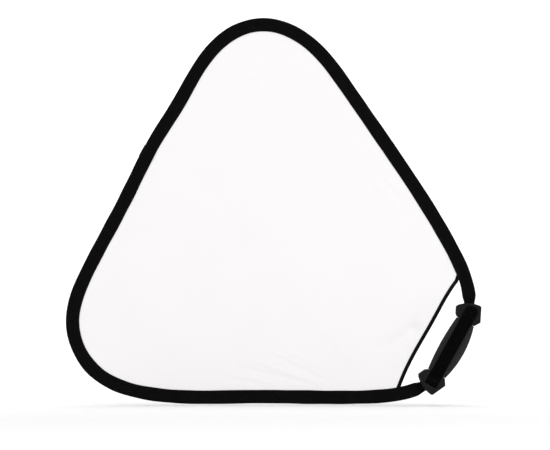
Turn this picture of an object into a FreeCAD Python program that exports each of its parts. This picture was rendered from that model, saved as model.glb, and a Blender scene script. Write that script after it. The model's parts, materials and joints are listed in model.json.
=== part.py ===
import FreeCAD, Part
import math
import os

# A hand-held collapsible reflector: a rounded triangle of cloth stretched in a sprung rim,
# with a moulded grip set into its lower right corner and a webbing hand strap along the grip.
# Millimetres. +X right, +Z up, the cloth lies in the XZ plane and its white face looks along -Y.
# The origin is below the middle of the rim, at the height of its lowest point.

V = FreeCAD.Vector

# Rim: the sleeve's centre line (x, z), from inside the grip clockwise along the bottom
RIM_POINTS = [
    (327.5, 98.8), (276, 36), (156, 13), (-43, 14), (-209, 17), (-329, 64), (-365, 142),
    (-335, 247), (-267, 376), (-211, 485), (-176, 540), (-130, 619), (-69, 676),
    (-14, 688), (60, 658), (132, 574), (223, 442), (318, 290), (354, 183.5),
]
RIM_LIFT = 0.6              # raises the outline so that its lowest point is at z = 0
SLEEVE_HALF_WIDTH = 12.0
SLEEVE_END_HALF_WIDTH = 9.6
SLEEVE_TUNNEL_R = 4.0
SLEEVE_WALL = 0.9
FLANGE_HALF = 1.4
FLANGE_RISE = 0.2           # the flanges thicken by this much towards the tunnel
SLOT_HALF = 0.6
SLOT_END = 1.0              # the slot's blind end, outward of the centre line
TUNNEL_RAMP = 3.3           # length of the slope from the flanges up to the tunnel
TAPER_LENGTH = 30.0
LAP_AT = (-226.0, 452.0)    # (x, z) of the overlap of the tape's two ends
LAP_HALF_LENGTH = 11.0
LAP_THICKNESS = 0.58
LAP_EDGE = 1.5              # the lap stops this far short of the flanges' edge

# Spring hoop: flat band, wide across the cloth's plane
HOOP_OFFSET = 6.4
HOOP_WIDTH = 5.0
HOOP_THICKNESS = 1.0
HOOP_CLEARANCE = 0.06
SPLICE_AT = (-206.0, 489.0)  # (x, z) of the joint between the band's two ends
SPLICE_GAP = 0.5
FERRULE_HALF_LENGTH = 11.0
FERRULE_WALL = 0.6
FERRULE_SIDE_WALL = 0.4

# Cloths
CLOTH_THICKNESS = 0.4
CLOTH_GAP = 0.16

# Fold lines: level hinge lines across the rim, which bend it top over bottom
FOLD_FIRST_Z = 251.0
FOLD_PITCH = 36.6
FOLD_COUNT = 9
FOLD_GAP = 2.0

# Hand opening: the bound straight edge of the cloth beside the grip
OPENING_EDGE = [(338, 233), (314, 199.5), (288, 152.5), (251, 87.5), (224, 26.5)]
BINDING_HALF_WIDTH = 3.4
BINDING_HALF_THICKNESS = 1.2

# Grip: its own frame has n outward (local X), y across (Y) and t along the grip (local Z)
GRIP_CENTRE = V(322.0, 0, 102.5)
GRIP_TILT = 29.1
GRIP_HALF_LENGTH = 53.5
GRIP_OUT = 24.0
GRIP_OUT_END = 16.0
GRIP_IN = 22.8
GRIP_IN_END = 19.5
GRIP_HALF_DEPTH = 15.0
GRIP_ROUND = 12.5
SKIN = 2.0
FIT = 0.1
SEAM_HALF_GAP = 0.05        # between the front and rear halves
SHELL_WALL = 2.5
SHELL_HALF_LENGTH = 62.0
SHELL_DEPTH_INSIDE = 11.9   # bosses and ribs end here, inside the shell's wall

# Guards: a collar at each end, square to the rim where it enters
GUARD_MOUTH = (-9.4, 86.5)  # (n, t) of the mouth's centre
GUARD_TILT = 25.4
GUARD_HALF_DEPTH = 18.0
GUARD_ROUND = 3.5
GUARD_FOOT = 54.2
GUARD_FOOT_N = (-19.8, 15.6)
# Outline in the mouth's frame, as (outward, along the rim) from the mouth's centre
GUARD_CROWN = [(-22, -3), (-1, 1), (18, -2.5)]
GUARD_OUTER_SIDE = [(20, -5), (20, -33)]
GUARD_INNER_SIDE = [(-26, -19), (-26, -6)]
GUARD_CORNER_ROUND = 1.8
MOUTH_HALF_WIDTH = 10.0
MOUTH_HALF_DEPTH = 4.5
MOUTH_LENGTH = 11.0

# Screws, all M3
SCREW_R = 1.45
SCREW_HEAD_R = 2.75
SCREW_HEAD_H = 2.0
SCREW_HOLE = 0.15           # radial clearance of a hole a screw passes through
SCREW_THREAD = 0.03         # radial clearance of a hole a screw bites into
SCREW_TIP_Y = -8.0
CROSS_HALF_LENGTH = 1.6
CROSS_HALF_WIDTH = 0.35
CROSS_DEPTH = 0.8
BOSS_R = 3.6
SHELL_HEAD_Y = 11.6         # top of the heads of the screws between the shells
GUARD_HEAD_Y = 16.8
SHELL_SCREW_N = -4.5
SHELL_SCREW_T = (-34.0, -12.0, 12.0, 34.0)
GUARD_SCREW_N = -8.0
GUARD_SCREW_T = 58.2
CLAMP_T = 44.0
CLAMP_LOW_N = 0.2
CLAMP_SIZE = (10.8, 10.0, 12.0)
RIB_N = (1.0, 11.0)
RIB_SPREAD = 4.0            # each clamp sits between two ribs this far either side of its middle
RIB_HALF_WIDTH = 0.8
SOCKET_R = 0.8
SOCKET_DEPTH = 1.2

# Hand strap
STRAP_WIDTH = 23.0
STRAP_THICKNESS = 1.5
STRAP_N = -1.8
STRAP_PIN_T = -74.0
STRAP_PIN_Y = -15.5
STRAP_PIN_R = 2.0
STRAP_PIN_OVERHANG = 2.8    # the pin runs this far into the guard on each side
STRAP_EYE_PLAY = 0.08
STRAP_ROOM = 0.35           # between the strap's eye and its pocket
STRAP_SIDE_ROOM = 0.6
STRAP_ARCH = [(-18.5, -56.0), (-24.0, -22.0), (-25.0, 0.0), (-24.6, 24.0), (-21.3, 50.0)]   # (y, t)
TAB_HINGE_T = 60.0
TAB_HINGE_Y = -21.0
TAB_END_T = 86.0
TAB_GAP = 2.6
TAB_TIP_ROUND = 8.0
PATCH_THICKNESS = 1.0
PATCH_INSET = 1.5
PATCH_END_INSET = 2.5
PATCH_ROUND = 3.0
PATCH_GAP = 0.025           # between a patch and what it is fixed to

BIG = 1000.0
NEAR = 1e-3                 # two lengths closer than this are the same


def rim_curve():
    """The closed spline through the rim points."""
    curve = Part.BSplineCurve()
    points = [V(x, 0, z + RIM_LIFT) for x, z in RIM_POINTS]
    curve.interpolate(Points=points, PeriodicFlag=True)
    return curve


RIM = rim_curve()
RIM_LENGTH = RIM.length()


def rim_frame(s):
    """Point, forward direction and outward direction at distance s along the rim."""
    u = RIM.parameterAtDistance(s)
    forward = RIM.tangent(u)[0]
    return RIM.value(u), forward, forward.cross(V(0, 1, 0))


def rim_distance(target):
    """Distance along the rim to the point nearest the target."""
    u = RIM.parameter(target)
    return RIM.length(RIM.FirstParameter, u)


def to_grip(shape):
    """Move a shape from the grip's own frame to its place on the rim."""
    placed = shape.copy()
    placed.rotate(V(0, 0, 0), V(0, 1, 0), GRIP_TILT)
    placed.translate(GRIP_CENTRE)
    return placed


def grip_point(n, y, t):
    """A point of the grip's own frame, in the part's frame."""
    angle = math.radians(GRIP_TILT)
    along = V(math.sin(angle), 0, math.cos(angle))
    outward = V(math.cos(angle), 0, -math.sin(angle))
    return GRIP_CENTRE + outward * n + along * t + V(0, y, 0)


def box(low, high):
    """A box between two opposite corners."""
    return Part.makeBox(high[0] - low[0], high[1] - low[1], high[2] - low[2], V(*low))


def slab(low_z, high_z):
    """Everything between two levels."""
    return box((-BIG, -BIG, low_z), (BIG, BIG, high_z))


def half_space_y(side):
    """Everything in front of the middle plane (side -1) or behind it (+1), less half the seam's gap."""
    low_y, high_y = sorted((side * SEAM_HALF_GAP, side * BIG))
    return box((-BIG, low_y, -BIG), (BIG, high_y, BIG))


def wire_through(points, place):
    """Closed wire of straight edges; an entry with three points is an arc's start, middle and end."""
    edges = []
    last = None
    for point in points:
        if isinstance(point[0], tuple):
            start, middle, end = [place(*pair) for pair in point]
            if last is not None and last.distanceToPoint(start) > NEAR:
                edges.append(Part.makeLine(last, start))
            edges.append(Part.Arc(start, middle, end).toShape())
            last = end
        else:
            here = place(*point)
            if last is not None:
                edges.append(Part.makeLine(last, here))
            last = here
    first = edges[0].Vertexes[0].Point
    if last.distanceToPoint(first) > NEAR:
        edges.append(Part.makeLine(last, first))
    return Part.Wire(edges)


def pipe(curve, section):
    """Sweep a closed section along a curve, always square to the cloth's plane."""
    maker = Part.BRepOffsetAPI.MakePipeShell(Part.Wire([curve.toShape()]))
    maker.setBiNormalMode(V(0, 1, 0))
    maker.add(section)
    maker.build()
    maker.makeSolid()
    return maker.shape()


def rim_section(points, s):
    """A wire in the rim's cross-section at distance s; points are (outward, y)."""
    origin, _, outward = rim_frame(s)
    return wire_through(points, lambda out, y: origin + outward * out + V(0, y, 0))


def rim_sweep(points, start, end):
    """Sweep a cross-section along the rim between two distances."""
    part = RIM.copy()
    part.segment(RIM.parameterAtDistance(start), RIM.parameterAtDistance(end))
    return pipe(part, rim_section(points, start))


def band_points(out_low, out_high, half_y):
    """Rectangle in the rim's cross-section."""
    corners = [(out_low, -half_y), (out_high, -half_y), (out_high, half_y), (out_low, half_y)]
    return corners + corners[:1]


def sleeve_outside(half_width, growth, edge):
    """The sleeve's outside, grown by a little: from one flange's edge round the tunnel to the other's."""
    centre = half_width - SLEEVE_TUNNEL_R
    high = SLEEVE_TUNNEL_R + growth
    low = FLANGE_HALF + growth
    return [
        (-edge, low),
        (0, low + FLANGE_RISE),
        (centre - TUNNEL_RAMP, high),
        ((centre, high), (half_width + growth, 0), (centre, -high)),
        (centre - TUNNEL_RAMP, -high),
        (0, -low - FLANGE_RISE),
        (-edge, -low),
    ]


def sleeve_points(half_width):
    """The sleeve's cross-section: two sewn flanges inward, a round tunnel for the hoop outward."""
    centre = half_width - SLEEVE_TUNNEL_R
    inner_r = SLEEVE_TUNNEL_R - SLEEVE_WALL
    ramp_end = centre - TUNNEL_RAMP + FLANGE_RISE * 3
    inside = [
        (-half_width, -SLOT_HALF),
        (SLOT_END, -SLOT_HALF),
        (ramp_end, -inner_r),
        ((centre, -inner_r), (centre + inner_r, 0), (centre, inner_r)),
        (ramp_end, inner_r),
        (SLOT_END, SLOT_HALF),
        (-half_width, SLOT_HALF),
    ]
    return sleeve_outside(half_width, 0, half_width) + inside


def sleeve_taper(wide_s, end_s):
    """The sleeve's narrowing end, lofted from its full width to its width in the guard's mouth."""
    stations = 7
    outside_mouth = 1 - MOUTH_LENGTH / TAPER_LENGTH
    sections = []
    for i in range(stations):
        share = i / (stations - 1)
        narrowed = min(1, share / outside_mouth)
        eased = narrowed * narrowed * (3 - 2 * narrowed)
        width = SLEEVE_HALF_WIDTH + (SLEEVE_END_HALF_WIDTH - SLEEVE_HALF_WIDTH) * eased
        sections.append(rim_section(sleeve_points(width), wide_s + (end_s - wide_s) * share))
    return Part.makeLoft(sections, True, False)


def fold_levels():
    """Heights of the fold lines."""
    return [FOLD_FIRST_Z + FOLD_PITCH * i for i in range(FOLD_COUNT)]


def split_at_folds(shape, name):
    """Cut a shape at the fold lines into a base part and one part for each fold."""
    levels = fold_levels()
    lows = [-BIG] + [z + FOLD_GAP / 2 for z in levels]
    highs = [z - FOLD_GAP / 2 for z in levels] + [BIG]
    parts = {}
    for i, (low, high) in enumerate(zip(lows, highs)):
        label = name + ("_base" if i == 0 else "_fold_%d" % i)
        parts[label] = shape.common(slab(low, high))
    return parts


# ---- rim and cloth ----

def rim_ends():
    """Distances along the rim at which the sleeve's two ends stop, inside the guards' mouths."""
    depth = MOUTH_LENGTH - 1.0
    lower = rim_distance(grip_point(GUARD_MOUTH[0], 0, -GUARD_MOUTH[1]))
    upper = rim_distance(grip_point(GUARD_MOUTH[0], 0, GUARD_MOUTH[1]))
    return lower - depth, upper + depth


def rim_sleeve():
    """The folded tape round the rim, from the lower guard round to the upper guard."""
    start, end = rim_ends()
    main = rim_sweep(sleeve_points(SLEEVE_HALF_WIDTH), start + TAPER_LENGTH, end - TAPER_LENGTH)
    lower_end = sleeve_taper(start + TAPER_LENGTH, start)
    upper_end = sleeve_taper(end - TAPER_LENGTH, end)
    return main.fuse([lower_end, upper_end])


def splice_distance():
    """Distance along the rim to the middle of the hoop's splice, on the left side."""
    return rim_distance(V(SPLICE_AT[0], 0, SPLICE_AT[1] + RIM_LIFT))


def spring_hoop():
    """The flat band, closed round the whole rim and through the grip, cut at its splice."""
    low = HOOP_OFFSET - HOOP_THICKNESS / 2
    high = HOOP_OFFSET + HOOP_THICKNESS / 2
    section = rim_section(band_points(low, high, HOOP_WIDTH / 2), 0)
    hoop = pipe(RIM, section)
    middle, forward, _ = rim_frame(splice_distance())
    cutter = Part.makeCylinder(4 * HOOP_WIDTH, SPLICE_GAP, middle - forward * (SPLICE_GAP / 2), forward)
    return hoop.cut(cutter)


def hoop_splice_ferrule():
    """Crimped tube over the band's two ends."""
    half = FERRULE_HALF_LENGTH
    middle = splice_distance()
    low = HOOP_OFFSET - HOOP_THICKNESS / 2 - HOOP_CLEARANCE
    high = HOOP_OFFSET + HOOP_THICKNESS / 2 + HOOP_CLEARANCE
    half_y = HOOP_WIDTH / 2 + HOOP_CLEARANCE
    around = band_points(low - FERRULE_WALL, high + FERRULE_WALL, half_y + FERRULE_SIDE_WALL)
    outside = rim_sweep(around, middle - half, middle + half)
    inside = rim_sweep(band_points(low, high, half_y), middle - half - 1, middle + half + 1)
    return outside.cut(inside)


def lap_points(growth):
    """Closed outline round the sleeve at a small distance from it, short of the flanges' edge."""
    outside = sleeve_outside(SLEEVE_HALF_WIDTH, growth, SLEEVE_HALF_WIDTH - LAP_EDGE)
    return outside + outside[:1]


def sleeve_lap():
    """The overlap of the tape's two ends: a second layer round the sleeve."""
    half = LAP_HALF_LENGTH
    middle = rim_distance(V(LAP_AT[0], 0, LAP_AT[1] + RIM_LIFT))
    inner = 2 * HOOP_CLEARANCE
    outside = rim_sweep(lap_points(inner + LAP_THICKNESS), middle - half, middle + half)
    inside = rim_sweep(lap_points(inner), middle - half - 1, middle + half + 1)
    return outside.cut(inside)


def opening_edge():
    """The straight, slightly bowed edge of the cloth beside the grip."""
    curve = Part.BSplineCurve()
    curve.interpolate(Points=[V(x, 0, z + RIM_LIFT) for x, z in OPENING_EDGE])
    return curve


def opening_cutter():
    """Everything on the grip's side of the opening edge."""
    curve = opening_edge()
    upper = curve.value(curve.FirstParameter)
    lower = curve.value(curve.LastParameter)
    beyond = V(upper.x + BIG, 0, lower.z - BIG)
    corners = [lower, V(lower.x, 0, beyond.z), beyond, V(beyond.x, 0, upper.z), upper]
    edges = [Part.makeLine(a, b) for a, b in zip(corners, corners[1:])]
    face = Part.Face(Part.Wire([curve.toShape()] + edges))
    face.translate(V(0, -GUARD_HALF_DEPTH, 0))
    return face.extrude(V(0, 2 * GUARD_HALF_DEPTH, 0))


def cloth(side):
    """One cloth layer, its edge held in the sleeve's slot; side is -1 in front, +1 behind."""
    near = side * CLOTH_GAP / 2
    face = Part.Face(Part.Wire([RIM.toShape()]))
    face.translate(V(0, near, 0))
    return face.extrude(V(0, side * CLOTH_THICKNESS, 0)).cut(opening_cutter())


def opening_binding():
    """Folded tape over the cloth's cut edge, between the two runs of sleeve."""
    curve = opening_edge()
    start = curve.value(curve.FirstParameter)
    forward = curve.tangent(curve.FirstParameter)[0]
    toward_grip = V(0, 1, 0).cross(forward)
    if toward_grip.dot(GRIP_CENTRE - start) < 0:
        toward_grip = toward_grip * -1
    w = BINDING_HALF_WIDTH
    h = BINDING_HALF_THICKNESS
    points = [
        (-w, SLOT_HALF), (-w, h), ((w - h, h), (w, 0), (w - h, -h)), (-w, -h), (-w, -SLOT_HALF),
        (w - h, -SLOT_HALF), (w - h, SLOT_HALF), (-w, SLOT_HALF),
    ]
    section = wire_through(points, lambda out, y: start + toward_grip * out + V(0, y, 0))
    tape = pipe(curve, section)
    near_rim = band_points(-SLEEVE_HALF_WIDTH - 0.3, 3 * SLEEVE_HALF_WIDTH, 4 * h)
    start, end = rim_ends()
    reach = 150
    lower_run = rim_sweep(near_rim, start, start + reach)
    upper_run = rim_sweep(near_rim, end - reach, end)
    return tape.cut(lower_run).cut(upper_run)


# ---- grip ----

def grip_block(inset, half_depth, half_length, rounding):
    """The grip's rounded bar, in its own frame, with all sides moved in by an inset."""
    def arc_n(middle, end, t):
        rise = middle - end
        radius = (GRIP_HALF_LENGTH ** 2 + rise ** 2) / (2 * rise)
        return middle - radius + math.sqrt(radius ** 2 - t ** 2)

    def outer(t):
        return arc_n(GRIP_OUT, GRIP_OUT_END, t) - inset

    def inner(t):
        return -(arc_n(GRIP_IN, GRIP_IN_END, t) - inset)

    top = half_length
    outer_arc = Part.Arc(V(outer(-top), 0, -top), V(outer(0), 0, 0), V(outer(top), 0, top)).toShape()
    inner_arc = Part.Arc(V(inner(top), 0, top), V(inner(0), 0, 0), V(inner(-top), 0, -top)).toShape()
    upper_end = Part.makeLine(V(outer(top), 0, top), V(inner(top), 0, top))
    lower_end = Part.makeLine(V(inner(-top), 0, -top), V(outer(-top), 0, -top))
    face = Part.Face(Part.Wire([outer_arc, upper_end, inner_arc, lower_end]))
    face.translate(V(0, -half_depth, 0))
    block = face.extrude(V(0, 2 * half_depth, 0))
    long_edges = [
        e for e in block.Edges
        if abs(abs(e.CenterOfMass.y) - half_depth) < NEAR and abs(e.CenterOfMass.z) < half_length / 2
        and e.Length > half_length
    ]
    return block.makeFillet(rounding, long_edges)


def shell_outside():
    """Outside of the moulded shells, just inside the rubber skin."""
    inset = SKIN + FIT
    return grip_block(inset, GRIP_HALF_DEPTH - inset, SHELL_HALF_LENGTH, GRIP_ROUND - inset)


def shell_cavity():
    """The hollow inside the shells, open at both ends."""
    inset = SKIN + FIT + SHELL_WALL
    return grip_block(inset, GRIP_HALF_DEPTH - inset, SHELL_HALF_LENGTH + 1, GRIP_ROUND - inset)


def hoop_passage(clearance):
    """A slot round the hoop through the grip, in the part's own frame."""
    low = HOOP_OFFSET - HOOP_THICKNESS / 2 - clearance
    high = HOOP_OFFSET + HOOP_THICKNESS / 2 + clearance
    points = band_points(low, high, HOOP_WIDTH / 2 + clearance)
    start, end = rim_ends()
    return rim_sweep(points, 0, start + 2).fuse(rim_sweep(points, end - 2, RIM_LENGTH - 0.001))


def screw(n, t, head_y):
    """A pan-head screw in the grip's frame, driven from behind, with a cross recess in its head."""
    forward = V(0, -1, 0)
    head = Part.makeCylinder(SCREW_HEAD_R, SCREW_HEAD_H, V(n, head_y, t), forward)
    shank = Part.makeCylinder(SCREW_R, head_y - SCREW_TIP_Y, V(n, head_y, t), forward)
    long, wide = CROSS_HALF_LENGTH, CROSS_HALF_WIDTH
    low_y = head_y - CROSS_DEPTH
    cross = box((n - long, low_y, t - wide), (n + long, head_y + 1, t + wide))
    cross = cross.fuse(box((n - wide, low_y, t - long), (n + wide, head_y + 1, t + long)))
    return head.fuse(shank).cut(cross).removeSplitter()


def y_cylinder(n, t, radius, low_y, high_y):
    """A cylinder along Y in the grip's frame."""
    return Part.makeCylinder(radius, high_y - low_y, V(n, low_y, t), V(0, 1, 0))


def screw_places():
    """(n, t) of every screw boss in the shells."""
    places = [(SHELL_SCREW_N, t) for t in SHELL_SCREW_T]
    places += [(GUARD_SCREW_N, t) for t in (-GUARD_SCREW_T, GUARD_SCREW_T)]
    return places


def clamp_ribs(side):
    """Saddle ribs of one shell that hold the hoop clamps in place."""
    ribs = []
    low_y, high_y = sorted((side * (CLAMP_SIZE[1] / 2 + FIT), side * SHELL_DEPTH_INSIDE))
    for clamp_t in (-CLAMP_T, CLAMP_T):
        for t in (clamp_t - RIB_SPREAD, clamp_t + RIB_SPREAD):
            low = (RIB_N[0], low_y, t - RIB_HALF_WIDTH)
            ribs.append(box(low, (RIB_N[1], high_y, t + RIB_HALF_WIDTH)))
    return ribs


def handle_shell(side):
    """One moulded half of the handle, with its bosses and saddle ribs."""
    outside = shell_outside()
    solid = outside.cut(shell_cavity())
    low_y, high_y = sorted((0, side * SHELL_DEPTH_INSIDE))
    for n, t in screw_places():
        solid = solid.fuse(y_cylinder(n, t, BOSS_R, low_y, high_y).common(outside))
    for rib in clamp_ribs(side):
        solid = solid.fuse(rib.common(outside))
    solid = solid.common(half_space_y(side))
    for n, t in screw_places():
        if side < 0:
            solid = solid.cut(y_cylinder(n, t, SCREW_R + SCREW_THREAD, SCREW_TIP_Y - 1.5, 1))
        else:
            solid = solid.cut(y_cylinder(n, t, SCREW_R + SCREW_HOLE, -1, GUARD_HALF_DEPTH))
    if side > 0:
        floor_y = SHELL_HEAD_Y - SCREW_HEAD_H
        for t in SHELL_SCREW_T:
            counterbore = y_cylinder(SHELL_SCREW_N, t, SCREW_HEAD_R + SCREW_HOLE, floor_y, GUARD_HALF_DEPTH)
            solid = solid.cut(counterbore)
    return to_grip(solid.removeSplitter())


def grip_skin(side):
    """One half of the rubber skin moulded over the grip."""
    outside = grip_block(0, GRIP_HALF_DEPTH, GRIP_HALF_LENGTH, GRIP_ROUND)
    skin = outside.cut(grip_block(SKIN, GRIP_HALF_DEPTH - SKIN, GRIP_HALF_LENGTH + 1, GRIP_ROUND - SKIN))
    skin = skin.common(half_space_y(side))
    if side > 0:
        for t in SHELL_SCREW_T:
            hole = y_cylinder(SHELL_SCREW_N, t, SCREW_HEAD_R + 2 * SCREW_HOLE, 0, GUARD_HALF_DEPTH)
            skin = skin.cut(hole)
    return to_grip(skin)


def guard_outline():
    """The upper guard's outline in the grip's frame, seen from the front."""
    angle = math.radians(GUARD_TILT)
    mouth_n, mouth_t = GUARD_MOUTH

    def place(point):
        out, along = point
        n = mouth_n + out * math.cos(angle) - along * math.sin(angle)
        t = mouth_t + out * math.sin(angle) + along * math.cos(angle)
        return V(n, 0, t)

    crown = [place(point) for point in GUARD_CROWN]
    foot_in, foot_out = [V(n, 0, GUARD_FOOT) for n in GUARD_FOOT_N]
    corners = [crown[2]] + [place(point) for point in GUARD_OUTER_SIDE] + [foot_out, foot_in]
    corners += [place(point) for point in GUARD_INNER_SIDE] + [crown[0]]
    edges = [Part.makeLine(a, b) for a, b in zip(corners, corners[1:])]
    edges.append(Part.Arc(*crown).toShape())
    return Part.Face(Part.Wire(edges))


def guard_blank():
    """The upper guard's solid body with its rounded edges, in the grip's frame."""
    face = guard_outline()
    face.translate(V(0, -GUARD_HALF_DEPTH, 0))
    block = face.extrude(V(0, 2 * GUARD_HALF_DEPTH, 0))
    corners = [
        e for e in block.Edges
        if abs(e.CenterOfMass.y) < NEAR and e.CenterOfMass.z > GUARD_FOOT + 1
    ]
    block = block.makeFillet(GUARD_CORNER_ROUND, corners)
    rims = [
        e for e in block.Edges
        if abs(abs(e.CenterOfMass.y) - GUARD_HALF_DEPTH) < NEAR and e.CenterOfMass.z > GUARD_FOOT + 0.5
    ]
    return block.makeFillet(GUARD_ROUND, rims)


def guard_mouth(end):
    """The pocket that takes the sleeve's end, in the part's own frame."""
    points = band_points(-MOUTH_HALF_WIDTH, MOUTH_HALF_WIDTH, MOUTH_HALF_DEPTH)
    lower, upper = rim_ends()
    past = MOUTH_LENGTH + 8
    if end > 0:
        return rim_sweep(points, upper - past, upper + 1)
    return rim_sweep(points, lower - 1, lower + past)


def mirrored(shape):
    """The same shape at the other end of the grip."""
    return shape.mirror(V(0, 0, 0), V(0, 0, 1))


def guard(end):
    """A guard collar: end is +1 for the upper one and -1 for the lower one."""
    body = guard_blank()
    pocket = grip_block(SKIN, GRIP_HALF_DEPTH - SKIN, SHELL_HALF_LENGTH + 3 * FIT, GRIP_ROUND - SKIN)
    body = body.cut(pocket)
    floor_y = GUARD_HEAD_Y - SCREW_HEAD_H
    for radius, low_y in ((SCREW_R, 0), (SCREW_HEAD_R, floor_y)):
        hole = y_cylinder(GUARD_SCREW_N, GUARD_SCREW_T, radius + SCREW_HOLE, low_y, GUARD_HALF_DEPTH + 1)
        body = body.cut(hole)
    if end < 0:
        body = mirrored(body)
        for cutter in strap_pocket():
            body = body.cut(cutter)
    return to_grip(body).cut(guard_mouth(end)).cut(hoop_passage(4 * FIT))


def strap_pocket():
    """The lower guard's slit for the strap's eye, its pin hole and the channel under the strap."""
    half = STRAP_WIDTH / 2 + STRAP_SIDE_ROOM
    low_n = STRAP_N - half
    high_n = STRAP_N + half
    eye_r = STRAP_PIN_R + STRAP_EYE_PLAY + STRAP_THICKNESS + STRAP_ROOM
    eye = Part.makeCylinder(eye_r, high_n - low_n, V(low_n, STRAP_PIN_Y, STRAP_PIN_T), V(1, 0, 0))
    slit = box((low_n, -BIG, STRAP_PIN_T - eye_r), (high_n, STRAP_PIN_Y, STRAP_PIN_T + eye_r))
    channel_floor = STRAP_PIN_Y - STRAP_PIN_R + STRAP_SIDE_ROOM
    channel = box((low_n, -BIG, STRAP_PIN_T), (high_n, channel_floor, -GUARD_FOOT + 1))
    return [anchor_pin(SCREW_THREAD), eye, slit, channel]


def hoop_clamp(end):
    """A block round the hoop inside the handle, bored for its clamp screw."""
    size_n, size_y, size_t = CLAMP_SIZE
    middle_t = end * CLAMP_T
    low = (CLAMP_LOW_N, -size_y / 2, middle_t - size_t / 2)
    block = box(low, (CLAMP_LOW_N + size_n, size_y / 2, middle_t + size_t / 2))
    bore = Part.makeCylinder(SCREW_R + SCREW_THREAD, 2 * size_n, V(-size_n / 2, 0, middle_t), V(1, 0, 0))
    return to_grip(block.cut(bore)).cut(hoop_passage(HOOP_CLEARANCE))


def clamp_screws():
    """A socket set screw in each hoop clamp, its tip just short of the band."""
    tip = HOOP_OFFSET - HOOP_THICKNESS / 2 - HOOP_CLEARANCE / 3
    start, end = rim_ends()
    reach = 2 * MOUTH_HALF_WIDTH
    inside_hoop = band_points(-reach, tip, HOOP_WIDTH)
    keep = rim_sweep(inside_hoop, 0, start).fuse(rim_sweep(inside_hoop, end, RIM_LENGTH - NEAR))
    screws = []
    for middle_t in (-CLAMP_T, CLAMP_T):
        head = V(CLAMP_LOW_N + 2 * SOCKET_DEPTH / 6, 0, middle_t)
        shank = Part.makeCylinder(SCREW_R, 2 * CLAMP_SIZE[0], head, V(1, 0, 0))
        socket = Part.makeCylinder(SOCKET_R, SOCKET_DEPTH, head, V(1, 0, 0))
        screws.append(to_grip(shank.cut(socket)).common(keep))
    return Part.makeCompound(screws)


def shell_screws():
    """The four screws that hold the shells together, driven from behind."""
    return Part.makeCompound([to_grip(screw(SHELL_SCREW_N, t, SHELL_HEAD_Y)) for t in SHELL_SCREW_T])


def guard_screws():
    """One screw through each guard into the shells, driven from behind."""
    places = (-GUARD_SCREW_T, GUARD_SCREW_T)
    return Part.makeCompound([to_grip(screw(GUARD_SCREW_N, t, GUARD_HEAD_Y)) for t in places])


# ---- hand strap ----

def anchor_pin(clearance):
    """The pin across the lower guard's slit, in the grip's frame, with a radial clearance."""
    half = STRAP_WIDTH / 2 + STRAP_PIN_OVERHANG + clearance
    end = V(STRAP_N - half, STRAP_PIN_Y, STRAP_PIN_T)
    return Part.makeCylinder(STRAP_PIN_R + clearance, 2 * half, end, V(1, 0, 0))


def strap_line():
    """The strap's centre line as (y, t) points: off the pin's front, over the grip in an arch."""
    pin_front = STRAP_PIN_Y - STRAP_PIN_R - STRAP_EYE_PLAY - STRAP_THICKNESS / 2
    return [(pin_front, STRAP_PIN_T)] + STRAP_ARCH + [(TAB_HINGE_Y, TAB_HINGE_T)]


def strap_webbing():
    """The webbing: an eye round the pin and one long arch over the grip."""
    line = [V(STRAP_N, y, t) for y, t in strap_line()]
    curve = Part.BSplineCurve()
    curve.interpolate(Points=line)
    half = STRAP_WIDTH / 2
    thick = STRAP_THICKNESS / 2
    outline = [(-half, -thick), (half, -thick), (half, thick), (-half, thick)]
    corners = [line[0] + V(n, y, 0) for n, y in outline]
    maker = Part.BRepOffsetAPI.MakePipeShell(Part.Wire([curve.toShape()]))
    maker.setBiNormalMode(V(1, 0, 0))
    maker.add(Part.makePolygon(corners + corners[:1]))
    maker.build()
    maker.makeSolid()
    before_tab = box((-BIG, -BIG, -BIG), (BIG, BIG, TAB_HINGE_T - TAB_GAP / 2))
    ribbon = maker.shape().common(before_tab)
    inner_r = STRAP_PIN_R + STRAP_EYE_PLAY
    centre = V(STRAP_N - half, STRAP_PIN_Y, STRAP_PIN_T)
    eye = Part.makeCylinder(inner_r + STRAP_THICKNESS, STRAP_WIDTH, centre, V(1, 0, 0))
    hole = Part.makeCylinder(inner_r, STRAP_WIDTH + 2, centre - V(1, 0, 0), V(1, 0, 0))
    return to_grip(ribbon.fuse(eye).cut(hole))


def strap_tab():
    """The end of the strap that lies on the upper guard, with a rounded tip."""
    half = STRAP_WIDTH / 2
    low_t = TAB_HINGE_T + TAB_GAP / 2
    low_y = TAB_HINGE_Y - STRAP_THICKNESS / 2
    tab = box((STRAP_N - half, low_y, low_t), (STRAP_N + half, low_y + STRAP_THICKNESS, TAB_END_T))
    tips = [
        e for e in tab.Edges
        if abs(e.CenterOfMass.z - TAB_END_T) < NEAR and abs(e.CenterOfMass.y - TAB_HINGE_Y) < NEAR
    ]
    return to_grip(tab.makeFillet(TAB_TIP_ROUND, tips))


def patch(low_y):
    """A rounded pad of hook or loop tape on the upper guard's front."""
    half = STRAP_WIDTH / 2 - PATCH_INSET
    low_t = TAB_HINGE_T + TAB_GAP
    high_y = low_y + PATCH_THICKNESS
    pad = box((STRAP_N - half, low_y, low_t), (STRAP_N + half, high_y, TAB_END_T - PATCH_END_INSET))
    sides = [e for e in pad.Edges if abs(e.CenterOfMass.y - (low_y + high_y) / 2) < NEAR]
    return to_grip(pad.makeFillet(PATCH_ROUND, sides))


def hook_patch():
    """Hook tape bonded to the upper guard."""
    return patch(-GUARD_HALF_DEPTH - PATCH_THICKNESS - PATCH_GAP)


def loop_patch():
    """Loop tape sewn under the strap's tab."""
    return patch(TAB_HINGE_Y + STRAP_THICKNESS / 2 + PATCH_GAP)


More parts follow.
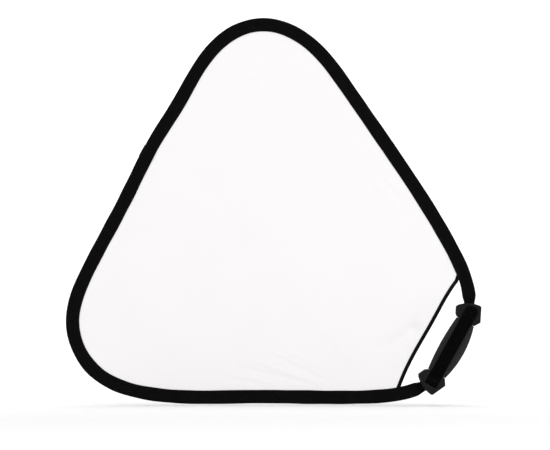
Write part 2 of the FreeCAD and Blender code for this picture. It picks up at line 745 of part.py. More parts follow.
def all_parts():
    """Every named sub-part."""
    parts = {}
    parts.update(split_at_folds(rim_sleeve(), "rim_sleeve"))
    parts.update(split_at_folds(spring_hoop(), "spring_hoop"))
    parts.update(split_at_folds(cloth(-1), "front_cloth"))
    parts.update(split_at_folds(cloth(1), "rear_cloth"))
    parts["sleeve_lap"] = sleeve_lap()
    parts["hoop_splice_ferrule"] = hoop_splice_ferrule()
    parts["opening_binding"] = opening_binding()
    parts["handle_front_shell"] = handle_shell(-1)
    parts["handle_rear_shell"] = handle_shell(1)
    parts["grip_skin_front"] = grip_skin(-1)
    parts["grip_skin_rear"] = grip_skin(1)
    parts["upper_guard"] = guard(1)
    parts["lower_guard"] = guard(-1)
    parts["upper_hoop_clamp"] = hoop_clamp(1)
    parts["lower_hoop_clamp"] = hoop_clamp(-1)
    parts["clamp_screws"] = clamp_screws()
    parts["shell_screws"] = shell_screws()
    parts["guard_screws"] = guard_screws()
    parts["strap_anchor_pin"] = to_grip(anchor_pin(0))
    parts["strap_webbing"] = strap_webbing()
    parts["strap_tab"] = strap_tab()
    parts["hook_patch"] = hook_patch()
    parts["loop_patch"] = loop_patch()
    return parts


os.makedirs("parts", exist_ok=True)
for node, shape in all_parts().items():
    shape.exportStep("parts/" + node + ".step")
    print(node, len(shape.Solids), round(shape.Volume, 1), shape.isValid())
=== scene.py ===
import json
import math
import bmesh
import bpy
import numpy as np
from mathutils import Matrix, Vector
from mathutils.bvhtree import BVHTree
from mathutils.geometry import delaunay_2d_cdt


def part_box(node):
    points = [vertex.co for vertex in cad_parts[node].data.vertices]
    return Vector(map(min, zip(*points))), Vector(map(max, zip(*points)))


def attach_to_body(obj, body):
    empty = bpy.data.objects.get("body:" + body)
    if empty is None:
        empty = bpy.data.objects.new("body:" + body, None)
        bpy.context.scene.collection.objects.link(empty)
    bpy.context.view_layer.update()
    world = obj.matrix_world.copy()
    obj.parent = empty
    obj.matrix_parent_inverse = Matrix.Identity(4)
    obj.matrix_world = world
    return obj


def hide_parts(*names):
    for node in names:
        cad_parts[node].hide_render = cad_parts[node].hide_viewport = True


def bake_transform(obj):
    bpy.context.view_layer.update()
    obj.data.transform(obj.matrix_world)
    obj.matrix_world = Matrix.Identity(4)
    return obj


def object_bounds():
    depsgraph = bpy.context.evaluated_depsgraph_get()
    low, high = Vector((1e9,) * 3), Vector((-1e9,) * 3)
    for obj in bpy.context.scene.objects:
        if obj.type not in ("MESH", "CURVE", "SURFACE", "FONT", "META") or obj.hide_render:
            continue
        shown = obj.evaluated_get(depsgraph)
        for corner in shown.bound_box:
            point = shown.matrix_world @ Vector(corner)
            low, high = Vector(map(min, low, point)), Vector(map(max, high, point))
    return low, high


# The looks of a hand-held collapsible reflector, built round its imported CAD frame.
# Lengths are in millimetres until a mesh is made; X is right, Y is back and Z is up.

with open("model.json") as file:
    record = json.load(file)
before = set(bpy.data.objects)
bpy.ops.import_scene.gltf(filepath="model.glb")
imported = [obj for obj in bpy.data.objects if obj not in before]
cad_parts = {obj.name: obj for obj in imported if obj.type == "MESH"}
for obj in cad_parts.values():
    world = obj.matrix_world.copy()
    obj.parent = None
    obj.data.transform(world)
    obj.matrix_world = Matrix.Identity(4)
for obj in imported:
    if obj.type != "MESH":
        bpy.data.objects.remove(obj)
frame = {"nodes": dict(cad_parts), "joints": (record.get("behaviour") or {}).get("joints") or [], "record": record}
CAD_LOW, CAD_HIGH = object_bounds()
NODES = frame["nodes"]
JOINTS = {joint["name"]: joint for joint in frame["joints"]}
MM = 0.001

# Rim
RAY_HEIGHT_SHARE = 0.36  # the rays that find the hoop start at this share of the height
RAY_COUNT = 1440
HOOP_INNER_FACE = 5.9  # the band's inner face lies this far outside the sleeve's centre line
HOOP_THICKNESS = 1.0
HOOP_HALF_WIDTH = 2.5
RIM_STEP = 2.0  # spacing of the stations along the rim
SLEEVE_HALF_WIDTH = 12.3
SLEEVE_END_HALF_WIDTH = 9.6
MOUTH_LENGTH = 10.0  # the sleeve's ends reach this far into the guards
SLEEVE_TAPER = 16.0  # and narrow over this length outside them
TUNNEL_R = 3.9
TUNNEL_WALL = 0.8
FLANGE_HALF = 1.35
SLOT_HALF = 0.62
SLOT_END = 1.0
SLOT_WALL = 0.35  # least thickness of tape beside the slot
STITCH_INSET = 2.6  # from the sleeve's inner edge
STITCH_PITCH = 3.4
STITCH_LENGTH = 2.5
STITCH_START = 3.0  # the stitching starts this far outside the guards' mouths
THREAD_R = 0.28
LAP_HALF_LENGTH = 11.0
LAP_HEIGHT = 0.75  # the lap's face stands this far off the sleeve
LAP_UNDERSIDE = 0.1  # and its underside this far

# Cloth
CLOTH_STEP = 4.0
CLOTH_EDGE = 2.0  # the cloth ends this far inside the sleeve's centre line
CLOTH_CUT = 1.6  # and is cut this far on the grip's side of the binding's middle
CUT_OVERRUN = 60.0  # the cutting line runs on this far at both ends
CLEARANCE = 0.45 * CLOTH_STEP  # the cloth's inner points keep this far from its edges
CLOTH_HALF_GAP = 0.1
CLOTH_THICKNESS = 0.36
HELD_BY_RIM = 38.0  # the relief grows to its full height over this distance from the rim
HELD_BY_BINDING = 26.0  # and over this distance from the binding
BINDING_HALF_WIDTH = 3.4
BINDING_HALF_DEPTH = 1.2
BINDING_STEP = 1.5
BINDING_REACH = 16.0  # how far the binding runs on under the sleeve
BINDING_STITCH_INSET = 1.6  # from the binding's middle, away from the grip
CREASES = [
    # (start, end, half width, depth): pulls that run down into the bottom run of sleeve
    ((-90, 76), (112, 26), 3.6, 0.95),
    ((-36, 106), (124, 29), 3.4, 0.95),
    ((-64, 90), (104, 30), 3.2, -0.8),
    ((-104, 52), (14, 29), 3.2, 0.7),
    ((14, 103), (104, 58), 3.4, -0.6),
    ((-80, 58), (44, 27), 3.0, -0.6),
    ((66, 140), (150, 62), 5.0, 0.4),
    # right edge, half way up
    ((178, 430), (242, 358), 3.6, 0.7),
    ((168, 420), (234, 350), 3.4, -0.6),
    ((158, 408), (224, 342), 3.6, 0.5),
    ((102, 253), (184, 286), 4.5, 0.4),
    # below the top corner, on the left
    ((-92, 648), (34, 572), 4.2, 1.0),
    ((-80, 624), (24, 556), 5.0, -0.7),
    # the soft trough that leads to the dimple
    ((180, 96), (262, 140), 9.0, 2.0),
    # left corner
    ((-330, 190), (-250, 150), 9.0, 0.4),
    ((-310, 90), (-240, 130), 8.0, -0.4),
]
DIMPLES = [
    # (centre, radius, depth): the pulled spot beside the bound edge
    ((254, 137), 12.0, 5.0),
    ((262, 128), 7.0, 2.5),
]

# Strap
STRAP_WIDTH = 23.0
STRAP_THICKNESS = 1.5
STRAP_EDGE_ROUND = 1.1
WEB_STEP = 0.7
RIB_HEIGHT = 0.16
TAB_LENGTH = 26.0  # past its hinge
TAB_TIP_ROUND = 8.0
TAB_BEND_BELOW = 5.0  # the webbing bends from here below its hinge
TAB_BEND_ABOVE = 4.0  # to here above it
STRAP_STITCH_PITCH = 2.4
STRAP_STITCH_INSET = 2.2  # from the strap's edges
THREAD_LIFT = 0.02  # a stitch's middle stands this far off the cloth

# Hook and loop: each wire bends through (share of the lean, share of the height)
PILE_HEIGHT = 1.0
PILE_BACKING = 0.45
PILE_CORNER = 3.0
PILE_LEAN = 0.32
HOOKS = dict(
    slot="hook_tape", side=-1, pitch=1.15, wire_r=0.09, seed=61, turn=(-0.5, 0.5),
    bends=[(0, 0), (0, 0.55), (0.25, 0.9), (0.8, 1.0), (1.2, 0.72)])
LOOPS = dict(
    slot="loop_tape", side=1, pitch=0.95, wire_r=0.07, seed=67, turn=(0, 2 * math.pi),
    bends=[(-1, 0), (-0.8, 0.7), (0, 1.0), (0.8, 0.7), (1, 0)])

# ---- meshes

def scene_object(name, data):
    """A new object in the scene."""
    obj = bpy.data.objects.new(name, data)
    bpy.context.scene.collection.objects.link(obj)
    return obj


def mesh_object(name, points, faces, material, normals=None):
    """A mesh object from points in millimetres, which keeps its rest normals."""
    mesh = bpy.data.meshes.new(name)
    mesh.from_pydata([tuple(p) for p in np.asarray(points, float) * MM], [], faces)
    mesh.materials.append(material)
    if normals is not None:
        layer = mesh.attributes.new("rest_normal", "FLOAT_VECTOR", "POINT")
        layer.data.foreach_set("vector", np.asarray(normals, np.float32).ravel())
    mesh.update()
    obj = scene_object(name, mesh)
    shade_smooth(obj)
    return obj


def unit_rows(vectors):
    """The rows of an array, each scaled to length one."""
    length = np.linalg.norm(vectors, axis=1, keepdims=True)
    return vectors / np.where(length > 1e-12, length, 1)


def shade_smooth(obj):
    """Smooth shading, with the rest normals where they were kept."""
    mesh = obj.data
    mesh.polygons.foreach_set("use_smooth", [True] * len(mesh.polygons))
    layer = mesh.attributes.get("rest_normal")
    if layer is not None:
        normals = np.zeros(len(mesh.vertices) * 3, np.float32)
        layer.data.foreach_get("vector", normals)
        normals = unit_rows(normals.reshape(-1, 3))
        mesh.normals_split_custom_set_from_vertices([tuple(n) for n in normals])


def tube_faces(rings, ring_size, closed_rings=False):
    """Quads between successive rings of points; each ring is a closed loop."""
    faces = []
    for i in range(rings if closed_rings else rings - 1):
        here = i * ring_size
        ahead = ((i + 1) % rings) * ring_size
        for j in range(ring_size):
            k = (j + 1) % ring_size
            faces.append((here + j, ahead + j, ahead + k, here + k))
    return faces


def capped_tube(points, ring_size):
    """Faces of a swept tube with its two ends closed."""
    rings = len(points) // ring_size
    faces = tube_faces(rings, ring_size)
    faces.append(tuple(range(ring_size)))
    last = (rings - 1) * ring_size
    faces.append(tuple(last + j for j in reversed(range(ring_size))))
    return faces


def joined(parts):
    """One list of points and one of faces from several (points, faces) parts."""
    points = []
    faces = []
    for more_points, more_faces in parts:
        first = len(points)
        points += more_points
        faces += [tuple(first + i for i in face) for face in more_faces]
    return points, faces


def faces_by_size(faces):
    """Index arrays of the faces, one array for each number of corners."""
    by_size = {}
    for face in faces:
        by_size.setdefault(len(face), []).append(face)
    return [np.array(group) for group in by_size.values()]


def point_normals(points, faces):
    """Area-weighted vertex normals of a mesh."""
    points = np.asarray(points, float)
    total = np.zeros_like(points)
    for index in faces_by_size(faces):
        a, b, c = points[index[:, 0]], points[index[:, 1]], points[index[:, -1]]
        cross = np.cross(b - a, c - a)
        for column in range(index.shape[1]):
            np.add.at(total, index[:, column], cross)
    return unit_rows(total)


def outward_faces(points, faces):
    """The faces, turned so that their closed mesh has a positive volume."""
    points = np.asarray(points, float)
    volume = 0.0
    for index in faces_by_size(faces):
        first = points[index[:, 0]]
        for k in range(1, index.shape[1] - 1):
            volume += (first * np.cross(points[index[:, k]], points[index[:, k + 1]])).sum()
    return faces if volume > 0 else [tuple(reversed(f)) for f in faces]


def closed_object(name, points, faces, material):
    """A closed, smooth mesh object whose faces look outwards."""
    faces = outward_faces(points, faces)
    return mesh_object(name, points, faces, material, point_normals(points, faces))


def attach(obj, body, slot_name, *nodes):
    """Fixes a visible piece to a body, in the place of any CAD nodes named."""
    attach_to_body(obj, body)
    if nodes:
        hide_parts(*nodes)


def smoothstep(low, high, value):
    """Eased step from 0 at low to 1 at high."""
    t = np.clip((np.asarray(value, float) - low) / (high - low), 0, 1)
    return t * t * (3 - 2 * t)


def ripple(seed, count, value, wavelength):
    """Sum of sines with seeded phases, about one unit high: a smooth unevenness."""
    spread = 0.6
    rng = np.random.default_rng(seed)
    total = np.zeros_like(np.asarray(value, float))
    for _ in range(count):
        scale = wavelength * (1 + spread * rng.uniform(-1, 1))
        total += np.sin(2 * np.pi * value / scale + rng.uniform(0, 2 * np.pi))
    return total / math.sqrt(count)


# ---- the rim's line

def mount(name):
    """One of the record's mounts."""
    return next(m for m in frame["record"]["mounts"] if m["name"] == name)


def node_points(name):
    """The corners of a CAD node's mesh, in millimetres."""
    return [v.co / MM for v in NODES[name].data.vertices]


def node_tree(*prefixes):
    """Ray-casting tree over the CAD nodes whose names start with a prefix."""
    names = [name for name in NODES if name.startswith(prefixes)]
    parts = [(node_points(n), [p.vertices for p in NODES[n].data.polygons]) for n in names]
    return BVHTree.FromPolygons(*joined(parts))


def distance_along(line):
    """Distance from the first point of an open polyline to each of its points."""
    return np.r_[0, np.cumsum(np.linalg.norm(np.diff(line, axis=0), axis=1))]


def interp_pairs(wanted, grid, pairs):
    """Both columns of an array, known on a grid, at the wanted places."""
    return np.c_[np.interp(wanted, grid, pairs[:, 0]), np.interp(wanted, grid, pairs[:, 1])]


def resample(points, step):
    """Closed polyline resampled at equal distances."""
    ring = np.vstack([points, points[:1]])
    along = distance_along(ring)
    count = int(round(along[-1] / step))
    return interp_pairs(np.linspace(0, along[-1], count, endpoint=False), along, ring)


def ring_smooth(values, sigma):
    """Gaussian smoothing of values round a closed ring; sigma in samples."""
    count = len(values)
    wave = np.fft.fftfreq(count)
    weight = np.exp(-2 * (np.pi * wave * sigma) ** 2)
    return np.real(np.fft.ifft(np.fft.fft(values, axis=0) * weight[:, None], axis=0))


def outward_of(points):
    """Outward direction at each point of a closed line that runs clockwise."""
    ahead = unit_rows(np.roll(points, -1, axis=0) - np.roll(points, 1, axis=0))
    return np.c_[-ahead[:, 1], ahead[:, 0]]


class RimLine:
    """The sleeve's centre line, found by casting rays at the hoop's inner face."""

    def __init__(self):
        tree = node_tree("spring_hoop")
        middle = Vector((0, 0, RAY_HEIGHT_SHARE * CAD_HIGH.z / MM))
        grip = np.array(mount("grip")["pos_m"]) / MM
        start = math.atan2(grip[2] - middle.z, grip[0])
        angles = start - np.linspace(0, 2 * np.pi, RAY_COUNT, endpoint=False)
        found = {}
        for i, angle in enumerate(angles):
            hit = tree.ray_cast(middle, Vector((math.cos(angle), 0, math.sin(angle))))
            if hit[0] is not None:
                found[i] = (hit[0] - middle).length
        radii = np.interp(np.arange(RAY_COUNT), list(found), list(found.values()))
        ring = np.c_[radii * np.cos(angles), middle.z + radii * np.sin(angles)]
        ring = ring_smooth(resample(ring, 1.0), 6.0)
        ring = resample(ring - HOOP_INNER_FACE * outward_of(ring), RIM_STEP)
        self.points = ring_smooth(ring, 1.5)
        self.out = outward_of(self.points)
        gaps = np.linalg.norm(np.roll(self.points, -1, axis=0) - self.points, axis=1)
        self.s = np.r_[0, np.cumsum(gaps)[:-1]]
        self.length = gaps.sum()

    def at(self, s):
        """Centre point and outward direction at distances s along the rim."""
        s = np.asarray(s, float) % self.length
        grid = np.r_[self.s, self.length]
        centre = interp_pairs(s, grid, np.vstack([self.points, self.points[:1]]))
        outward = interp_pairs(s, grid, np.vstack([self.out, self.out[:1]]))
        return centre, unit_rows(outward)

    def nearest(self, xz):
        """Distance along the rim of the station nearest each point."""
        found = [np.argmin(((self.points - point) ** 2).sum(1)) for point in np.atleast_2d(xz)]
        return self.s[found]

    def inset(self, xz):
        """How far each point lies inside the centre line (negative outside)."""
        found = []
        for part in np.array_split(xz, len(xz) // 2000 + 1):
            gap = part[:, None, :] - self.points
            index = np.argmin((gap ** 2).sum(2), axis=1)
            found.append(-(gap[np.arange(len(part)), index] * self.out[index]).sum(1))
        return np.concatenate(found)

    def place(self, s, out, y):
        """Points at distance s along, out outward and y back, as x, y, z."""
        centre, outward = self.at(s)
        flat = centre + outward * np.asarray(out, float)[:, None]
        return np.c_[flat[:, 0], np.asarray(y, float), flat[:, 1]]


RIM = RimLine()
FOLD_NAMES = sorted(name for name in JOINTS if name.startswith("fold_"))
FOLD_Z = [JOINTS[name]["pos_m"][2] / MM for name in FOLD_NAMES]
HALF_PITCH = (FOLD_Z[1] - FOLD_Z[0]) / 2


def sleeve_span():
    """Distances along the rim where the sleeve starts and ends, inside the guards."""
    s = RIM.nearest(np.array([(p.x, p.z) for p in node_points("rim_sleeve_base")]))
    inside_grip = 20.0
    s = s[(s > inside_grip) & (s < RIM.length - inside_grip)]
    return s.min(), s.max()


SLEEVE_START, SLEEVE_END = sleeve_span()


# ---- cutting between the folds

def folding_pieces(master, label, node_prefix=None):
    """Cuts a mesh between the fold lines, one part for each fold."""
    pieces = []
    edges = [z + HALF_PITCH for z in FOLD_Z[:-1]]
    for i, (low, high) in enumerate(zip([None] + edges, edges + [None])):
        mesh = master.data.copy()
        work = bmesh.new()
        work.from_mesh(mesh)
        for level, normal in ((low, -1), (high, 1)):
            if level is not None:
                everything = work.verts[:] + work.edges[:] + work.faces[:]
                bmesh.ops.bisect_plane(work, geom=everything, plane_co=(0, 0, level * MM),
                                       plane_no=(0, 0, normal), clear_outer=True, dist=1e-7)
        work.to_mesh(mesh)
        work.free()
        if not mesh.polygons:
            continue
        name = "%s_%d" % (label, i + 1)
        mesh.name = name
        piece = scene_object(name, mesh)
        shade_smooth(piece)
        pieces.append(piece)
        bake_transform(piece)
        if node_prefix:
            names = ["%s_fold_%d" % (node_prefix, i + 1)]
            if i == 0:
                names.append(node_prefix + "_base")
            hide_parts(*names)
    bpy.data.objects.remove(master)
    return pieces


# ---- materials

class Nodes:
    """Short helper for building a shader node tree."""

    def __init__(self, name):
        self.material = bpy.data.materials.new(name)
        self.material.use_nodes = True
        self.tree = self.material.node_tree
        self.shader = self.tree.nodes["Principled BSDF"]
        self.place = self.add("ShaderNodeTexCoord").outputs["Object"]

    def add(self, kind, **values):
        node = self.tree.nodes.new(kind)
        for key, value in values.items():
            if hasattr(node, key):
                setattr(node, key, value)
            else:
                node.inputs[key.replace("_", " ")].default_value = value
        return node

    def link(self, source, target):
        self.tree.links.new(source, target)

    def math(self, operation, a, b=None):
        """A math node on sockets or numbers."""
        node = self.add("ShaderNodeMath", operation=operation)
        for value, socket in zip((a, b), node.inputs):
            if isinstance(value, (int, float)):
                socket.default_value = value
            elif value is not None:
                self.link(value, socket)
        return node.outputs[0]

    def noise(self, scale, detail=2.0, roughness=0.5):
        """Noise with a scale in cycles per metre."""
        node = self.add("ShaderNodeTexNoise", Scale=scale, Detail=detail, Roughness=roughness)
        self.link(self.place, node.inputs["Vector"])
        return node.outputs["Fac"]

    def stripes(self, pitch_mm, direction):
        """Smooth stripes, 0 to 1, with a pitch across a direction (x, y, z)."""
        dot = self.add("ShaderNodeVectorMath", operation="DOT_PRODUCT")
        self.link(self.place, dot.inputs[0])
        dot.inputs[1].default_value = direction
        phase = self.math("MULTIPLY", dot.outputs["Value"], 2 * math.pi / (pitch_mm * MM))
        wave = self.math("SINE", phase)
        return self.math("MULTIPLY_ADD", wave, 0.5)

    def colours(self, factor, dark, light):
        """Mixes two colours by a 0 to 1 socket."""
        ramp = self.add("ShaderNodeValToRGB")
        ramp.color_ramp.elements[0].color = (*dark, 1)
        ramp.color_ramp.elements[1].color = (*light, 1)
        self.link(factor, ramp.inputs["Fac"])
        return ramp.outputs["Color"]

    def range(self, factor, low, high):
        """Maps a 0 to 1 socket onto low to high."""
        node = self.add("ShaderNodeMapRange", To_Min=low, To_Max=high)
        self.link(factor, node.inputs["Value"])
        return node.outputs["Result"]

    def bump(self, height, distance_mm, strength=1.0, under=None):
        """A bump of a height socket; distance is the relief of a 0 to 1 step."""
        node = self.add("ShaderNodeBump", Strength=strength, Distance=distance_mm * MM)
        self.link(height, node.inputs["Height"])
        if under is not None:
            self.link(under, node.inputs["Normal"])
        return node.outputs["Normal"]

    def finish(self, colour=None, roughness=None, normal=None, **plain):
        """Connects the sockets to the shader and returns the material."""
        for name, value in plain.items():
            self.shader.inputs[name.replace("_", " ")].default_value = value
        for name, socket in (("Base Color", colour), ("Roughness", roughness), ("Normal", normal)):
            if socket is not None:
                self.link(socket, self.shader.inputs[name])
        return self.material


def plain_weave(nodes, pitch_mm, tilt=0.0):
    """Height of a plain weave: crossed threads, one over and one under."""
    across = (math.cos(tilt), 0, math.sin(tilt))
    along = (-math.sin(tilt), 0, math.cos(tilt))
    warp = nodes.stripes(pitch_mm, across)
    weft = nodes.stripes(pitch_mm, along)
    wide_warp = nodes.stripes(2 * pitch_mm, across)
    checks = nodes.math("MULTIPLY", wide_warp, nodes.stripes(2 * pitch_mm, along))
    over = nodes.math("MULTIPLY", warp, checks)
    return nodes.math("MAXIMUM", over, nodes.math("MULTIPLY", weft, 0.7))


def white_cloth_material():
    """Matt white stretched fabric with a fine weave."""
    nodes = Nodes("white_cloth")
    weave = plain_weave(nodes, 0.55)
    soft = nodes.noise(9.0, 3.0)
    colour = nodes.colours(soft, (0.735, 0.719, 0.727), (0.752, 0.736, 0.744))
    normal = nodes.bump(weave, 0.03, 0.5)
    rough = nodes.range(nodes.noise(400.0), 0.78, 0.9)
    return nodes.finish(colour, rough, normal, Specular_IOR_Level=0.25, Sheen_Weight=0.15)


def silver_cloth_material():
    """Metallised fabric: a soft mirror with a fine crinkle."""
    nodes = Nodes("silver_cloth")
    weave = plain_weave(nodes, 0.6, 0.2)
    crinkle = nodes.noise(55.0, 6.0, 0.65)
    fine = nodes.bump(weave, 0.04, 0.6)
    normal = nodes.bump(crinkle, 0.9, 0.55, fine)
    colour = nodes.colours(nodes.noise(20.0, 4.0), (0.46, 0.47, 0.49), (0.60, 0.605, 0.62))
    rough = nodes.range(crinkle, 0.26, 0.42)
    return nodes.finish(colour, rough, normal, Metallic=0.85)


def tape_material(name, dark, light, pitch_mm, tilt):
    """Black woven tape: a tight weave with a faint dusty sheen."""
    nodes = Nodes(name)
    weave = plain_weave(nodes, pitch_mm, tilt)
    dust = nodes.noise(60.0, 4.0, 0.6)
    colour = nodes.colours(dust, dark, light)
    soft = nodes.bump(nodes.noise(180.0, 3.0), 0.25, 0.5)
    normal = nodes.bump(weave, 0.12, 0.8, soft)
    rough = nodes.range(weave, 0.9, 0.7)
    return nodes.finish(colour, rough, normal, Specular_IOR_Level=0.03)


def webbing_material():
    """Deep black strap webbing."""
    nodes = Nodes("strap_web")
    fibre = nodes.noise(2500.0, 2.0)
    dust = nodes.noise(120.0, 3.0)
    colour = nodes.colours(dust, (0.001, 0.001, 0.001), (0.0024, 0.0024, 0.0024))
    normal = nodes.bump(fibre, 0.08, 0.7)
    rough = nodes.range(fibre, 0.75, 0.95)
    return nodes.finish(colour, rough, normal, Specular_IOR_Level=0.015)


def moulded_material(name, dark, light, grain, relief, rough, specular):
    """Moulded plastic or rubber with a fine grain and rubbed patches."""
    nodes = Nodes(name)
    height = nodes.noise(1 / (grain * MM), 2.0, 0.6)
    rubbed = nodes.noise(35.0, 4.0, 0.6)
    colour = nodes.colours(rubbed, dark, light)
    normal = nodes.bump(height, relief, 0.8)
    return nodes.finish(colour, nodes.range(rubbed, *rough), normal, Specular_IOR_Level=specular)


def metal_material(name, dark, light, rough):
    """Drawn or machined metal with fine lines along it."""
    nodes = Nodes(name)
    lines = nodes.stripes(0.35, (0, 0, 1))
    wear = nodes.noise(90.0, 5.0, 0.6)
    colour = nodes.colours(wear, dark, light)
    normal = nodes.bump(lines, 0.01, 0.4)
    return nodes.finish(colour, nodes.range(wear, *rough), normal, Metallic=1.0)


def thread_material():
    """Black polyester sewing thread."""
    nodes = Nodes("sewing_thread")
    twist = nodes.stripes(0.5, (0.7, 0.1, 0.7))
    colour = nodes.colours(twist, (0.002, 0.002, 0.0022), (0.005, 0.005, 0.0054))
    normal = nodes.bump(twist, 0.08, 0.8)
    return nodes.finish(colour, None, normal, Roughness=0.6, Specular_IOR_Level=0.1)


WHITE = white_cloth_material()
SILVER = silver_cloth_material()
TAPE = tape_material("sleeve_tape", (0.0018, 0.0018, 0.002), (0.0034, 0.0034, 0.0037), 0.7, 0.5)
BINDING = tape_material("binding_tape", (0.0025, 0.0025, 0.0025), (0.005, 0.005, 0.0052), 0.6, 0.9)
THREAD = thread_material()
WEBBING = webbing_material()
RUBBER = moulded_material("grip_rubber", (0.0165, 0.017, 0.0178), (0.0215, 0.022, 0.023),
                          grain=0.9, relief=0.06, rough=(0.62, 0.78), specular=0.05)
GUARD = moulded_material("guard_plastic", (0.0055, 0.0056, 0.0066), (0.0088, 0.0089, 0.0103),
                         grain=0.5, relief=0.03, rough=(0.5, 0.64), specular=0.07)
SHELL = moulded_material("handle_plastic", (0.01, 0.01, 0.011), (0.014, 0.014, 0.015),
                         grain=0.5, relief=0.03, rough=(0.5, 0.6), specular=0.2)
HOOK = moulded_material("hook_tape", (0.004, 0.004, 0.004), (0.008, 0.008, 0.008),
                        grain=0.6, relief=0.25, rough=(0.7, 0.9), specular=0.1)
SPRING = metal_material("spring_steel", (0.28, 0.29, 0.31), (0.42, 0.43, 0.45), (0.25, 0.4))
FERRULE = metal_material("ferrule_steel", (0.4, 0.4, 0.4), (0.55, 0.55, 0.55), (0.3, 0.5))
CLAMP = metal_material("clamp_metal", (0.5, 0.5, 0.51), (0.62, 0.62, 0.63), (0.35, 0.5))
SCREW = metal_material("black_screw", (0.02, 0.02, 0.021), (0.05, 0.05, 0.052), (0.35, 0.55))
PIN = metal_material("blackened_pin", (0.012, 0.012, 0.013), (0.03, 0.03, 0.032), (0.4, 0.6))


# ---- rim sleeve

def from_ends(s):
    """How far stations lie outside the guards' mouths."""
    return np.minimum(s - SLEEVE_START, SLEEVE_END - s) - MOUTH_LENGTH


def sleeve_half_width(s):
    """The sleeve narrows into both guards and is never quite even."""
    share = smoothstep(0, SLEEVE_TAPER, from_ends(s))
    even = SLEEVE_END_HALF_WIDTH + (SLEEVE_HALF_WIDTH - SLEEVE_END_HALF_WIDTH) * share
    return even + 0.2 * share * ripple(11, 5, s, 120)


def sleeve_profile():
    """Stations round the outside: share of the width, sewn edge to fold, and side."""
    flat = 0.62
    inner = np.linspace(0, flat, 13)
    fold = flat + (1 - flat) * np.sin(np.linspace(0, np.pi / 2, 10))[1:]
    front = np.r_[inner, fold]
    share = np.r_[front, front[-2::-1]]
    side = np.r_[-np.ones(len(front)), np.ones(len(front) - 1)]
    return share, side


def sleeve_depth(out, width):
    """Half thickness of the sleeve: flat flanges, then a round tunnel over the hoop."""
    rise = smoothstep(-1.5, width - 6.5, out)
    body = FLANGE_HALF + (TUNNEL_R - FLANGE_HALF) * rise
    past = np.clip((out - width + TUNNEL_R) / TUNNEL_R, 0, 1)
    groove_depth = 0.28
    groove_half_width = 0.9
    groove = (out + width - STITCH_INSET) / groove_half_width
    return body * np.sqrt(1 - past ** 2) - groove_depth * np.exp(-groove ** 2)


def sleeve_puckers(s, out, width, side):
    """Gathers along the sewn edge, slack folds across the tunnel, crumples at the guards."""
    total = 0
    sewn = np.exp(-((out + width - 1.5) / 5.0) ** 2)
    at_guards = np.exp(-((from_ends(s) - 9) / 9.0) ** 2)
    for seed, one_side in ((21, -1), (31, 1)):
        gathers = 0.15 * ripple(seed, 6, s + 0.35 * out, 9.0) * sewn
        slack = 0.28 * ripple(seed + 1, 5, s + 1.3 * out, 34.0) * smoothstep(-2, 6, out)
        crumples = 0.4 * ripple(seed + 2, 4, s - 0.5 * out, 7.0) * at_guards
        total = total + np.where(side == one_side, gathers + slack + crumples, 0)
    return total


def sleeve_shell(s, growth=0.0):
    """Outside of the sleeve at stations s, as arrays of outward and y."""
    s = s[:, None]
    share, side = sleeve_profile()
    width = sleeve_half_width(s)
    out = (2 * share - 1) * width
    near_fold = np.minimum(1, 4 * (1 - share))
    depth = sleeve_depth(out, width) + sleeve_puckers(s, out, width, side) * near_fold
    least = np.where(share < 0.5, SLOT_HALF + SLOT_WALL, 0)
    depth = np.maximum(depth, least) + growth
    return out + growth * share, side * depth


def sleeve_lining(s):
    """Inside of the sleeve at stations s: the cloth's slot, then the hoop's tunnel."""
    radius = TUNNEL_R - TUNNEL_WALL
    mouth = (1, -TUNNEL_R - 2.5, radius - 0.15)
    half = [(-1, 0, SLOT_HALF), (0, SLOT_END, SLOT_HALF), mouth]
    for angle in np.linspace(math.pi / 2, 0, 4):
        half.append((1, -TUNNEL_R + radius * math.cos(angle), radius * math.sin(angle)))
    spots = np.array(half + [(a, b, -y) for a, b, y in half[-2::-1]])
    out = spots[:, 0] * sleeve_half_width(s)[:, None] + spots[:, 1]
    return out, np.broadcast_to(spots[:, 2], out.shape)


def ring_points(s, *layers):
    """Points of closed rings, made of (outward, y) layers, swept along the rim."""
    out = np.hstack([layer[0] for layer in layers])
    y = np.hstack([layer[1] for layer in layers])
    along = np.broadcast_to(s[:, None], out.shape)
    return RIM.place(along.ravel(), out.ravel(), y.ravel()), out.shape[1]


def build_sleeve():
    """The folded tape round the rim, one continuous sewn tube."""
    stations = np.arange(SLEEVE_START, SLEEVE_END, RIM_STEP)
    points, size = ring_points(stations, sleeve_shell(stations), sleeve_lining(stations))
    master = closed_object("rim_sleeve_whole", points, capped_tube(points, size), TAPE)
    folding_pieces(master, "rim_sleeve_part", "rim_sleeve")


def build_hoop():
    """The flat spring band inside the sleeve and through the grip."""
    low = HOOP_INNER_FACE
    high = HOOP_INNER_FACE + HOOP_THICKNESS
    side = -HOOP_HALF_WIDTH
    bevel = 0.2
    half = [(low, side + bevel), (low + bevel, side), (high - bevel, side), (high, side + bevel)]
    ring = np.array(half + [(out, -y) for out, y in reversed(half)])
    stations = np.arange(0, RIM.length - RIM_STEP / 2, RIM_STEP)
    shape = (len(stations), len(ring))
    layer = [np.broadcast_to(column, shape) for column in ring.T]
    points, size = ring_points(stations, layer)
    faces = tube_faces(len(stations), size, closed_rings=True)
    master = closed_object("spring_hoop_whole", points, faces, SPRING)
    folding_pieces(master, "spring_hoop_part", "spring_hoop")


